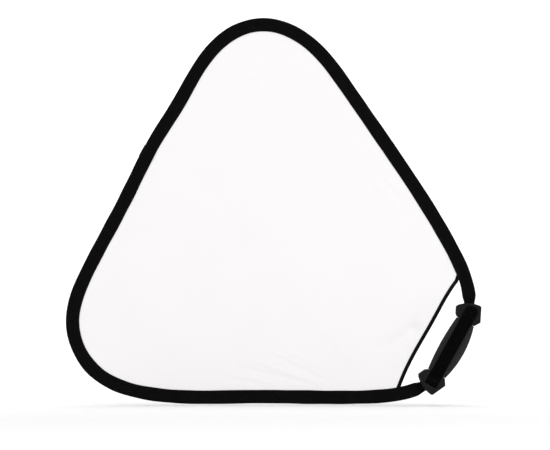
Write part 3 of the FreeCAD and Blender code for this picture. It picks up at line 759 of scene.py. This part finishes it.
def build_lap():
    """The second layer of tape where the sleeve's ends overlap."""
    low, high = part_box("sleeve_lap")
    centre = (low + high) / 2 / MM
    middle = RIM.nearest((centre.x, centre.z))[0]
    stations = np.linspace(middle - LAP_HALF_LENGTH, middle + LAP_HALF_LENGTH, 16)
    under = [part[:, ::-1] for part in sleeve_shell(stations, growth=LAP_UNDERSIDE)]
    points, size = ring_points(stations, sleeve_shell(stations, growth=LAP_HEIGHT), under)
    master = closed_object("sleeve_lap_whole", points, capped_tube(points, size), TAPE)
    pieces = folding_pieces(master, "sleeve_lap_layer")
    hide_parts("sleeve_lap")


def stitch(centre, along, up):
    """One stitch: a short thread that dives at both ends, as points and faces."""
    side = np.cross(along, up)
    points = []
    rows = 5
    sides = 6
    arch = 0.22
    sink = 0.16
    for i in range(rows):
        t = i / (rows - 1) * 2 - 1
        radius = THREAD_R * math.sqrt(max(0.12, 1 - t ** 4))
        lift = arch * (1 - t * t) - sink
        middle = centre + along * (t * STITCH_LENGTH / 2) + up * lift
        for k in range(sides):
            angle = 2 * math.pi * k / sides
            points.append(middle + side * radius * math.cos(angle) + up * radius * math.sin(angle))
    return points, capped_tube(points, sides)


def thread_mesh(name, stitches):
    """Stitches as one mesh, from each one's middle, direction and outward side."""
    parts = []
    for middle, ahead, up in stitches:
        ahead = np.array(ahead)
        parts.append(stitch(np.array(middle), ahead / np.linalg.norm(ahead), np.array(up)))
    points, faces = joined(parts)
    return mesh_object(name, points, faces, THREAD, point_normals(points, faces))


def build_sleeve_stitching():
    """The lockstitch row along the sleeve's sewn edge, front and back."""
    margin = MOUTH_LENGTH + STITCH_START
    stations = np.arange(SLEEVE_START + margin, SLEEVE_END - margin, STITCH_PITCH)
    width = sleeve_half_width(stations)
    out = -width + STITCH_INSET
    for side, label in ((-1, "front"), (1, "rear")):
        y = side * (sleeve_depth(out, width) + sleeve_puckers(stations, out, width, side))
        along = RIM.place(stations + 1, out, y) - RIM.place(stations - 1, out, y)
        up = np.tile((0.0, side, 0.0), (len(stations), 1))
        master = thread_mesh("stitching_whole", zip(RIM.place(stations, out, y), along, up))
        folding_pieces(master, "sleeve_stitching_%s" % label)


# ---- cloths

class OpeningLine:
    """The cut edge of the cloth beside the grip, found from the CAD binding."""

    def __init__(self):
        tree = node_tree("opening_binding")
        low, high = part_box("opening_binding")
        beside = high.x / MM + 50
        found = []
        for z in np.linspace(low.z / MM + 4, high.z / MM - 3, 60):
            hit = tree.ray_cast(Vector((beside, 0, z)), Vector((-1, 0, 0)))
            if hit[0] is not None:
                found.append((hit[0].x, hit[0].z))
        outer = np.array(found)
        self.ahead = unit_rows(np.gradient(outer, axis=0))
        self.to_grip = np.c_[self.ahead[:, 1], -self.ahead[:, 0]]
        self.centre = outer - BINDING_HALF_WIDTH * self.to_grip

    def long(self, offset, extra):
        """The line moved towards the grip by an offset and lengthened at both ends."""
        line = self.centre + offset * self.to_grip
        first = line[0] - self.ahead[0] * extra
        last = line[-1] + self.ahead[-1] * extra
        return np.vstack([first, line, last])

    def beyond(self, xz, offset):
        """How far points lie on the grip's side of the offset line."""
        line = self.long(offset, 2 * CUT_OVERRUN)
        xz = np.asarray(xz, float)
        return xz[:, 0] - np.interp(xz[:, 1], line[:, 1], line[:, 0])


OPENING = OpeningLine()


def crease(x, z, start, end, width, height):
    """A soft fold between two points, fading at its ends and sides."""
    start = np.array(start, float)
    run = np.array(end, float) - start
    length = np.linalg.norm(run)
    run /= length
    u = (x - start[0]) * run[0] + (z - start[1]) * run[1]
    v = (z - start[1]) * run[0] - (x - start[0]) * run[1]
    fade = smoothstep(0, 0.35 * length, u) * smoothstep(0, 0.45 * length, length - u)
    return height * np.exp(-(v / width) ** 2) * fade


def dimple(x, z, centre, radius, depth):
    """A round hollow in the cloth."""
    return depth * np.exp(-((x - centre[0]) ** 2 + (z - centre[1]) ** 2) / radius ** 2)


def cloth_relief(x, z):
    """How far the cloth stands back from its middle plane."""
    relief = 0.45 * ripple(3, 5, 0.8 * x + 0.6 * z, 260) + 0.35 * ripple(4, 5, 0.5 * x - 0.9 * z, 190)
    for values in CREASES:
        relief += crease(x, z, *values)
    for values in DIMPLES:
        relief += dimple(x, z, *values)
    return relief


def cloth_triangles():
    """Flat triangles of the cloth, inside the sleeve and cut for the hand."""
    rim = resample(RIM.points - CLOTH_EDGE * RIM.out, CLOTH_STEP)
    cut = OPENING.long(CLOTH_CUT, CUT_OVERRUN)
    low = rim.min(0)
    high = rim.max(0)
    grid = []
    for row, z in enumerate(np.arange(low[1], high[1], CLOTH_STEP)):
        shift = CLOTH_STEP / 2 * (row % 2)
        grid += [(x + shift, z) for x in np.arange(low[0], high[0], CLOTH_STEP)]
    grid = np.array(grid)
    grid = grid[RIM.inset(grid) > CLOTH_EDGE + CLEARANCE]
    grid = grid[OPENING.beyond(grid, CLOTH_CUT) < -CLEARANCE]
    points = np.vstack([rim, cut, grid])
    count = len(rim)
    edges = [(i, (i + 1) % count) for i in range(count)]
    edges += [(count + i, count + i + 1) for i in range(len(cut) - 1)]
    made = delaunay_2d_cdt([Vector(p) for p in points], edges, [], 1, 1e-4)
    flat = np.array([tuple(p) for p in made[0]])
    kept = []
    for face in made[2]:
        middle = flat[list(face)].mean(0)
        if OPENING.beyond([middle], CLOTH_CUT)[0] < 0:
            kept.append(tuple(face))
    used = sorted({i for face in kept for i in face})
    index = {old: new for new, old in enumerate(used)}
    return flat[used], [tuple(index[i] for i in face) for face in kept]


def boundary_edges(faces):
    """Directed edges that belong to one face only."""
    edges = [edge for face in faces for edge in zip(face, face[1:] + face[:1])]
    known = set(edges)
    return [(a, b) for a, b in edges if (b, a) not in known]


def build_cloth(flat, triangles, side, material, label, prefix):
    """One cloth as a thin closed sheet with the stretched cloth's relief."""
    x = flat[:, 0]
    z = flat[:, 1]
    held = smoothstep(SLEEVE_HALF_WIDTH - 2, HELD_BY_RIM, RIM.inset(flat))
    hold = held * smoothstep(2, HELD_BY_BINDING, -OPENING.beyond(flat, 0))
    relief = cloth_relief(x, z) * hold
    near = side * CLOTH_HALF_GAP
    far = side * (CLOTH_HALF_GAP + CLOTH_THICKNESS)
    step = 0.5
    slope_x = (cloth_relief(x + step, z) - cloth_relief(x - step, z)) / (2 * step) * hold
    slope_z = (cloth_relief(x, z + step) - cloth_relief(x, z - step)) / (2 * step) * hold
    tilt = unit_rows(np.c_[-slope_x, np.ones(len(x)), -slope_z])
    points = np.vstack([np.c_[x, far + relief, z], np.c_[x, near + relief, z]])
    count = len(flat)
    faces = list(triangles) + [tuple(i + count for i in reversed(f)) for f in triangles]
    faces += [(b, a, a + count, b + count) for a, b in boundary_edges(triangles)]
    normals = np.vstack([tilt * side, tilt * -side])
    master = mesh_object(label + "_whole", points, outward_faces(points, faces), material, normals)
    folding_pieces(master, label, prefix)


def build_cloths():
    """The white front cloth and the silver rear cloth."""
    flat, triangles = cloth_triangles()
    build_cloth(flat, triangles, -1, WHITE, "white_cloth_part", "front_cloth")
    build_cloth(flat, triangles, 1, SILVER, "silver_cloth_part", "rear_cloth")


def binding_frame():
    """Stations along the binding: the middle and the direction towards the grip."""
    line = OPENING.long(0, BINDING_REACH)
    to_grip = np.vstack([OPENING.to_grip[:1], OPENING.to_grip, OPENING.to_grip[-1:]])
    along = distance_along(line)
    stations = np.arange(0, along[-1], BINDING_STEP)
    centre = interp_pairs(stations, along, line)
    sideways = unit_rows(interp_pairs(stations, along, to_grip))
    keep = RIM.inset(centre) > SLEEVE_HALF_WIDTH - 7
    return centre[keep], sideways[keep]


def binding_profile():
    """Cross-section of the folded binding tape, as (towards the grip, y)."""
    half = BINDING_HALF_WIDTH
    deep = BINDING_HALF_DEPTH
    front = [(-half, -SLOT_HALF), (-half, -deep + 0.15), (-half + 0.3, -deep), (-0.6, -deep - 0.05)]
    front.append((half - 1.6, -deep))
    fold = [(half - deep + deep * math.sin(a), -deep * math.cos(a)) for a in np.linspace(0, math.pi, 9)]
    rear = [(out, -y) for out, y in reversed(front)]
    inside = [(half - 1.2, SLOT_HALF), (half - 1.2, -SLOT_HALF)]
    return np.array(front + fold + rear + inside)


def build_binding():
    """The folded tape over the cloth's cut edge, flat where it runs under the sleeve."""
    centre, sideways = binding_frame()
    ring = binding_profile()
    flat = centre[:, None, :] + sideways[:, None, :] * ring[:, 0][None, :, None]
    inset = RIM.inset(flat.reshape(-1, 2)).reshape(len(centre), -1)
    clear_of_sleeve = smoothstep(SLEEVE_HALF_WIDTH - 1.5, SLEEVE_HALF_WIDTH + 2, inset)
    along = np.arange(len(centre))[:, None] * BINDING_STEP
    uneven = 1 + 0.05 * ripple(41, 4, along, 14.0) * (np.abs(ring[:, 1]) > SLOT_HALF + 0.1)
    limit = SLOT_HALF - 0.1 + (2 * BINDING_HALF_DEPTH - SLOT_HALF) * clear_of_sleeve
    y = np.clip(ring[:, 1] * uneven, -limit, limit)
    points = np.c_[flat[..., 0].ravel(), y.ravel(), flat[..., 1].ravel()]
    tape = closed_object("opening_binding_tape", points, capped_tube(points, len(ring)), BINDING)
    attach(tape, "base", "binding_tape", "opening_binding")
    clear = RIM.inset(centre) > SLEEVE_HALF_WIDTH + 3
    stitches = []
    for side in (-1, 1):
        for place, across in zip(centre[clear][::2], sideways[clear][::2]):
            x, z = place - BINDING_STITCH_INSET * across
            middle = (x, side * (BINDING_HALF_DEPTH + THREAD_LIFT), z)
            stitches.append((middle, (across[1], 0.0, -across[0]), (0.0, side, 0.0)))
    attach(thread_mesh("binding_stitching", stitches), "base", "binding_tape")


# ---- hand strap

class StrapFrame:
    """The strap's own frame: n across it, y back and t along it from the pin."""

    def __init__(self):
        swing = JOINTS["strap_swing"]
        peel = JOINTS["strap_tab_peel"]
        self.pin = np.array(swing["pos_m"]) / MM
        self.across = np.array(swing["axis"], float)
        self.along = np.cross(self.across, (0, 1, 0))
        hinge = np.array(peel["pos_m"]) / MM - self.pin
        self.hinge_t = float(hinge @ self.along)
        self.hinge_y = float(hinge[1])

    def place(self, n, y, t):
        """Points at n, y and t from the pin's middle."""
        n, y, t = np.broadcast_arrays(np.asarray(n, float), y, t)
        spread = n[..., None] * self.across + t[..., None] * self.along
        return spread + y[..., None] * np.array([0, 1.0, 0]) + self.pin


STRAP = StrapFrame()


def strap_path():
    """The strap's centre line as (y, t): round the pin, then the CAD strap's own arch."""
    tree = node_tree("strap_webbing", "strap_tab")
    in_front = -60.0
    arch = []
    for t in np.arange(0.0, STRAP.hinge_t + TAB_LENGTH, 1.5):
        hit = tree.ray_cast(Vector(STRAP.place(0.0, in_front, t)), Vector((0, 1, 0)))
        if hit[0] is not None:
            arch.append((hit[0].y - STRAP.pin[1] + STRAP_THICKNESS / 2, t))
    arch = np.array(arch)
    radius = -arch[0, 0]
    angles = np.linspace(math.radians(-350), math.radians(-12), 40)
    loop = np.c_[-radius * np.cos(angles), radius * np.sin(angles)]
    path = np.vstack([loop, arch])
    along = distance_along(path)
    path = interp_pairs(np.arange(0, along[-1], WEB_STEP), along, path)
    for _ in range(4):
        path[1:-1] = 0.25 * path[:-2] + 0.5 * path[1:-1] + 0.25 * path[2:]
    return path


def webbing_relief(row, column):
    """Height of the woven ribs: short floats that lean alternate ways."""
    lane = column // 4
    lean = row + np.where(lane % 2 == 1, column, -column)
    rib = 0.5 + 0.5 * np.cos(2 * np.pi * lean / 4)
    groove = np.where(column % 4 == 0, 0.0, 1.0)
    return RIB_HEIGHT * rib * groove


def ribbon(path, first_row, half_widths, name):
    """A woven ribbon along a (y, t) path, with rounded edges and ribs on both faces."""
    ahead = unit_rows(np.gradient(path, axis=0))
    up = np.c_[-ahead[:, 1], ahead[:, 0]]
    columns = int(STRAP_WIDTH / WEB_STEP)
    share = np.linspace(-1, 1, columns + 1)
    edge = np.clip((1 - np.abs(share)) * STRAP_WIDTH / 2 / STRAP_EDGE_ROUND, 0, 1)
    half = (STRAP_THICKNESS / 2 - RIB_HEIGHT) * np.sqrt(1 - (1 - edge) ** 2)
    column = np.arange(columns + 1)
    points = []
    for row in range(len(path)):
        n = share * half_widths[row]
        relief = webbing_relief(first_row + row, column) * edge
        for sign, order in ((1, slice(None)), (-1, slice(-2, 0, -1))):
            lift = sign * (half + relief)[order]
            y = path[row, 0] + up[row, 0] * lift
            t = path[row, 1] + up[row, 1] * lift
            points.append(STRAP.place(n[order], y, t))
    points = np.vstack(points)
    return closed_object(name, points, capped_tube(points, 2 * columns), WEBBING)


def path_at(path, t):
    """The strap path's y and its slope at a height t."""
    rising = path[np.argmax(path[:, 1] > 2):]
    below, y, above = np.interp((t - 1, t, t + 1), rising[:, 1], rising[:, 0])
    return y, (above - below) / 2


def strap_stitches(path, corners, name):
    """Stitches sewn through the strap along straight runs between (n, t) corners."""
    stitches = []
    for (n0, t0), (n1, t1) in zip(corners, corners[1:]):
        count = max(1, int(math.hypot(n1 - n0, t1 - t0) / STRAP_STITCH_PITCH))
        for share in (np.arange(count) + 0.5) / count:
            t = t0 + (t1 - t0) * share
            y, slope = path_at(path, t)
            y -= STRAP_THICKNESS / 2 + THREAD_LIFT
            middle = STRAP.place(n0 + (n1 - n0) * share, y, t)
            ahead = (n1 - n0) * STRAP.across + (t1 - t0) * (STRAP.along + (0, slope, 0))
            stitches.append((middle, ahead, (0.0, -1.0, 0.0)))
    return thread_mesh(name, stitches)


def build_strap():
    """The webbing from its pin to the hinge, and the tab past the hinge."""
    path = strap_path()
    split = int(np.argmax(path[:, 1] > STRAP.hinge_t - TAB_BEND_BELOW))
    tip = np.clip((path[:, 1] - path[-1, 1] + TAB_TIP_ROUND) / TAB_TIP_ROUND, 0, 1)
    widths = STRAP_WIDTH / 2 - TAB_TIP_ROUND * (1 - np.sqrt(np.maximum(0.01, 1 - tip ** 2)))
    webbing = ribbon(path[:split + 1], 0, widths[:split + 1], "strap_webbing_run")
    attach(webbing, "strap", "strap_web", "strap_webbing")
    tab = ribbon(path[split:], split, widths[split:], "strap_tab_end")
    half = STRAP_WIDTH / 2 - STRAP_STITCH_INSET
    foot = 6.0
    rows = [(-half, foot), (half, foot), (half, foot + 2), (-half, foot + 2)]
    attach(strap_stitches(path, rows, "strap_bar_tack"), "strap", "strap_web")
    low = STRAP.hinge_t + 4.0
    high = path[-1, 1] - 3.0
    box = [(-half, low), (half, low), (half, high), (-half, high), (-half, low), (half, high)]
    sewing = strap_stitches(path, box + [(half, low), (-half, high)], "strap_tab_stitching")
    start = STRAP.place(0.0, STRAP.hinge_y, STRAP.hinge_t - TAB_BEND_BELOW) * MM
    end = STRAP.place(0.0, STRAP.hinge_y, STRAP.hinge_t + TAB_BEND_ABOVE) * MM
    for piece in (tab, sewing):
        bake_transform(piece)
    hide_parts("strap_tab")


# ---- hook and loop

def bent_wire(path, radius):
    """A thin four-sided wire through a few points."""
    path = np.asarray(path, float)
    forward = unit_rows(np.gradient(path, axis=0))
    side = unit_rows(np.cross(forward, (0.3, 0.2, 0.93)))
    other = np.cross(forward, side)
    rings = np.stack([path + radius * way for way in (side, other, -side, -other)], axis=1)
    points = list(rings.reshape(-1, 3))
    return points, capped_tube(points, 4)


def pad_outline(n, t):
    """Outline of a pad with round corners that fills the ranges of n and t."""
    half_n = (n.max() - n.min()) / 2 - PILE_CORNER
    half_t = (t.max() - t.min()) / 2 - PILE_CORNER
    outline = []
    for angle in np.linspace(0, 2 * math.pi, 33)[:-1]:
        turn_n, turn_t = math.cos(angle), math.sin(angle)
        outline.append((
            (n.max() + n.min()) / 2 + math.copysign(half_n, turn_n) + PILE_CORNER * turn_n,
            (t.max() + t.min()) / 2 + math.copysign(half_t, turn_t) + PILE_CORNER * turn_t,
        ))
    return outline


def build_pile(node, body, pile):
    """Hook or loop tape: a backing the size of the CAD pad, covered in hooks or loops."""
    corners = np.array(node_points(node)) - STRAP.pin
    n = corners @ STRAP.across
    t = corners @ STRAP.along
    low_y, high_y = corners[:, 1].min(), corners[:, 1].max()
    side = pile["side"]
    back = high_y if side < 0 else low_y
    foot = back + side * PILE_BACKING
    tall = min(PILE_HEIGHT, high_y - low_y) - PILE_BACKING
    outline = pad_outline(n, t)
    plate = [STRAP.place(a, y, b) for y in (back, foot) for a, b in outline]
    parts = [(plate, capped_tube(plate, len(outline)))]
    rng = np.random.default_rng(pile["seed"])
    pitch = pile["pitch"]
    near_edge = 1.2
    far_edge = 1.0
    for row, b in enumerate(np.arange(t.min() + near_edge, t.max() - far_edge, pitch)):
        shift = (row % 2) * pitch / 2
        for a in np.arange(n.min() + near_edge + shift, n.max() - far_edge, pitch):
            turn = rng.uniform(*pile["turn"])
            lean = np.array([math.cos(turn), math.sin(turn)]) * PILE_LEAN
            line = [STRAP.place(a + lean[0] * u, foot + side * tall * v, b + lean[1] * u)
                    for u, v in pile["bends"]]
            parts.append(bent_wire(line, pile["wire_r"]))
    pad = closed_object(node + "_pile", *joined(parts), HOOK)
    attach(pad, body, pile["slot"], node)


# ---- CAD nodes that stay

def dress_cad_nodes():
    """Procedural materials for the CAD nodes that are shown."""
    looks = {
        "handle_front_shell": SHELL, "handle_rear_shell": SHELL,
        "grip_skin_front": RUBBER, "grip_skin_rear": RUBBER,
        "upper_guard": GUARD, "lower_guard": GUARD,
        "upper_hoop_clamp": CLAMP, "lower_hoop_clamp": CLAMP,
        "clamp_screws": SCREW, "shell_screws": SCREW, "guard_screws": SCREW,
        "strap_anchor_pin": PIN,
        "hoop_splice_ferrule": FERRULE,
    }
    for name, material in looks.items():
        slots = NODES[name].data.materials
        slots.clear()
        slots.append(material)


# ---- stage

def stage_material(name, colour):
    """Pale paint on the side that faces the object, clear from behind."""
    nodes = Nodes(name)
    tone = nodes.colours(nodes.noise(3.0), colour, tuple(min(1, c * 1.01) for c in colour))
    behind = nodes.add("ShaderNodeNewGeometry").outputs["Backfacing"]
    nodes.link(nodes.math("SUBTRACT", 1.0, behind), nodes.shader.inputs["Alpha"])
    return nodes.finish(tone, Roughness=0.9, Specular_IOR_Level=0.1)


def build_stage():
    """A pale floor that curves up into a backdrop."""
    half = 6000.0
    back = 3500.0
    front = -5000.0
    top = 5000.0
    drop = -1.0
    curve_r = 1500.0
    profile = [(front, 0.0), (back - curve_r, 0.0)]
    for step in range(1, 13):
        angle = math.pi / 2 * step / 12
        profile.append((back - curve_r + curve_r * math.sin(angle), curve_r * (1 - math.cos(angle))))
    profile.append((back, top))
    points = []
    for y, z in profile:
        points += [(-half, y, z + drop), (half, y, z + drop)]
    faces = [(2 * i, 2 * i + 1, 2 * i + 3, 2 * i + 2) for i in range(len(profile) - 1)]
    paint = stage_material("floor_paint", (0.85, 0.85, 0.85))
    mesh_object("studio_floor", points, faces, paint)


def area_light(name, place, target, size, power):
    """A square soft light aimed at a point."""
    data = bpy.data.lights.new(name, "AREA")
    data.size = size * MM
    data.energy = power
    light = scene_object(name, data)
    light.location = Vector(place) * MM
    light.rotation_euler = (Vector(target) - Vector(place)).to_track_quat("-Z", "Y").to_euler()


def build_lights():
    """A white room with two large soft lamps in front and one on the backdrop."""
    world = bpy.data.worlds.new("white_room")
    world.use_nodes = True
    sky = world.node_tree.nodes["Background"].inputs
    sky["Color"].default_value = (1, 1, 1, 1)
    sky["Strength"].default_value = 1.0
    bpy.context.scene.world = world
    cloth = (0, 0, 350)
    area_light("key_lamp", (2700, -2900, 850), cloth, size=1500, power=44)
    area_light("fill_lamp", (-2700, -2900, 850), cloth, size=1600, power=24)
    area_light("backdrop_lamp", (0, 900, 2600), (0, 3500, 900), size=2400, power=45)


def build_camera():
    """A long lens square to the cloth, placed from the CAD box."""
    lens = 400.0
    sensor = 36.0
    frame_width = 996.4  # what the picture's width covers at the cloth's plane
    right = 2.7  # the view's middle, from the middle of the CAD box
    up = -25.4
    middle = (CAD_LOW + CAD_HIGH) / 2 / MM
    data = bpy.data.cameras.new("camera")
    data.lens = lens
    data.sensor_width = sensor
    data.clip_end = 50
    camera = scene_object("camera", data)
    distance = lens * frame_width / sensor
    camera.location = Vector((middle.x + right, -distance, middle.z + up)) * MM
    camera.rotation_euler = (math.pi / 2, 0, 0)
    bpy.context.scene.camera = camera


build_sleeve()
build_hoop()
build_lap()
build_sleeve_stitching()
build_cloths()
build_binding()
build_strap()
build_pile("hook_patch", "base", HOOKS)
build_pile("loop_patch", "strap_tab", LOOPS)
dress_cad_nodes()
build_stage()
build_lights()
build_camera()
bpy.context.scene.view_settings.view_transform = "Standard"
